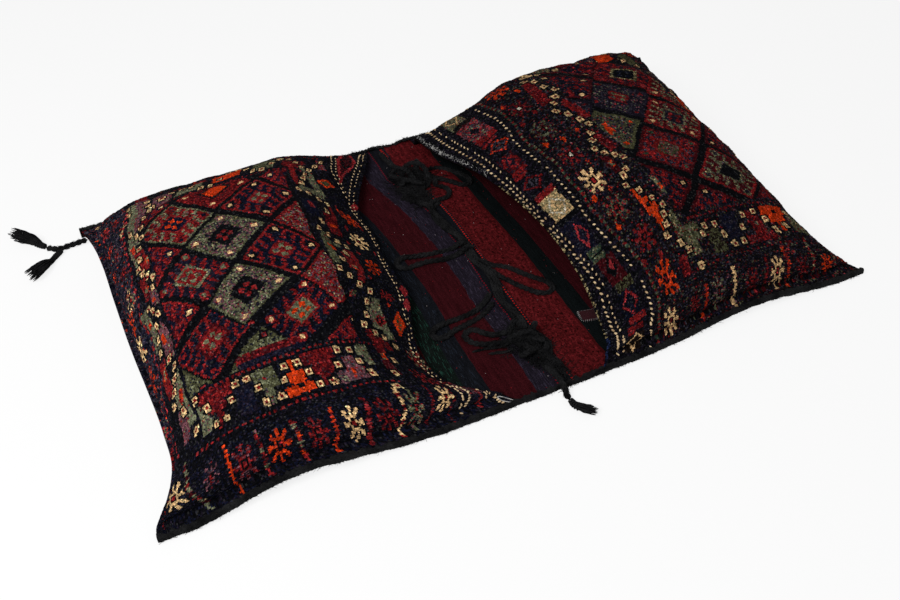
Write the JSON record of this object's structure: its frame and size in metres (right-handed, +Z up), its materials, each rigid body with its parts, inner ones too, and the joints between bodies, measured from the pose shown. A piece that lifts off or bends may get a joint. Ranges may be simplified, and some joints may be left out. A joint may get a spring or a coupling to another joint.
{
  "type": "double saddle bag",
  "caption": "Double saddle bag lying flat: two stuffed pouches with knotted-pile faces on one striped kilim, dark bound sides and a knotted closing braid.",
  "frame": {"origin": "on the floor, at the centre of the bag's outline without its braids and tassels", "axes": "+X from the left pouch to the right one, +Y away from the near long side, +Z up from the floor"},
  "size_m": [1.1858, 0.7271, 0.1575],
  "materials": {
    "knotted_pile": "short cut wool pile, matt",
    "striped_kilim": "flat-woven wool, matt",
    "goat_hair": "wrapped and plaited goat hair, slight sheen"
  },
  "bodies": {
    "root": {"back_and_bridge": "striped_kilim", "left_face": "knotted_pile", "right_face": "knotted_pile", "near_side_binding": "goat_hair", "far_side_binding": "goat_hair", "plain_tab": "striped_kilim", "lead_braid": "goat_hair", "far_knot": "goat_hair", "far_loop": "goat_hair", "middle_braid": "goat_hair", "left_loop": "goat_hair", "right_loop": "goat_hair", "left_near_loop": "goat_hair", "curled_loop": "goat_hair", "near_knot": "goat_hair", "end_braid": "goat_hair", "near_tassel": "goat_hair", "corner_cord": "goat_hair", "outer_corner_tassel": "goat_hair", "inner_corner_tassel": "goat_hair"}
  },
  "joints": []
}
